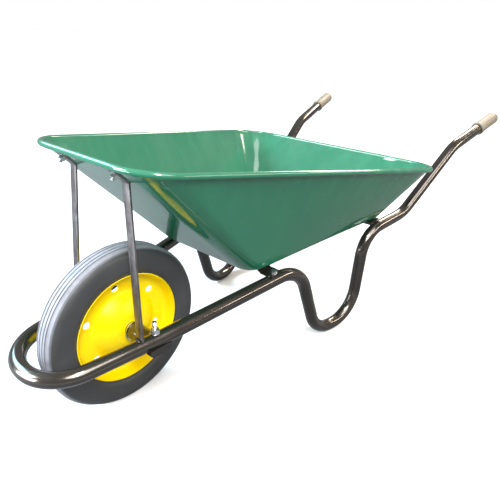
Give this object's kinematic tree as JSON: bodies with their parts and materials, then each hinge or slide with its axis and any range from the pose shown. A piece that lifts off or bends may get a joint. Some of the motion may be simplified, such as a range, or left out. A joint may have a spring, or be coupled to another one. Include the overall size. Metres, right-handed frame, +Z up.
{
  "type": "wheelbarrow",
  "caption": "Builder's wheelbarrow: tapered deep pan on a bent tube frame with loop legs, nose loop, flat stays and a solid-tyred front wheel.",
  "frame": {"origin": "bottom centre of the bounding box, on the ground", "axes": "+X forward towards the wheel, +Y to the left-hand side, +Z up"},
  "size_m": [1.4984, 0.6756, 0.556],
  "materials": {
    "frame_black": "glossy black paint",
    "pan_green": "glossy green paint",
    "wire_steel": "bright steel wire",
    "stay_steel": "bare hot-rolled steel",
    "bronze": "plain bronze",
    "grip_plastic": "matt beige-grey",
    "zinc": "bright zinc plate",
    "tyre": "dark grey rubber",
    "wheel_yellow": "glossy yellow paint",
    "hub_black": "satin black paint",
    "axle_steel": "turned steel"
  },
  "bodies": {
    "frame": {"nose_loop": "frame_black", "leg_tube_left": "frame_black", "leg_tube_right": "frame_black", "handle_tube_left": "frame_black", "handle_tube_right": "frame_black", "front_crossbar": "frame_black", "rear_crossbar": "frame_black", "housing_left": "frame_black", "housing_right": "frame_black", "pan": "pan_green", "rim_wire": "wire_steel", "stay_left": "stay_steel", "stay_right": "stay_steel", "bush_left": "bronze", "bush_right": "bronze", "grip_left": "grip_plastic", "grip_right": "grip_plastic", "stay_bolts": "zinc", "stay_washers": "zinc", "stay_nuts": "zinc", "floor_bolts": "zinc", "floor_washers": "zinc", "floor_nuts": "zinc", "crossbar_bolts": "zinc", "crossbar_washers": "zinc", "housing_bolts": "zinc", "housing_washers": "zinc", "housing_nuts": "zinc"},
    "wheel": {"tyre": "tyre", "disc_left": "wheel_yellow", "disc_right": "wheel_yellow", "hub_sleeve": "hub_black", "axle": "axle_steel", "axle_spacers": "zinc"}
  },
  "joints": [
    {"name": "wheel_spin", "type": "hinge", "parent": "frame", "child": "wheel", "pos_m": [0.51918, 0, 0.18], "axis": [0, 1, 0], "continuous": true}
  ]
}
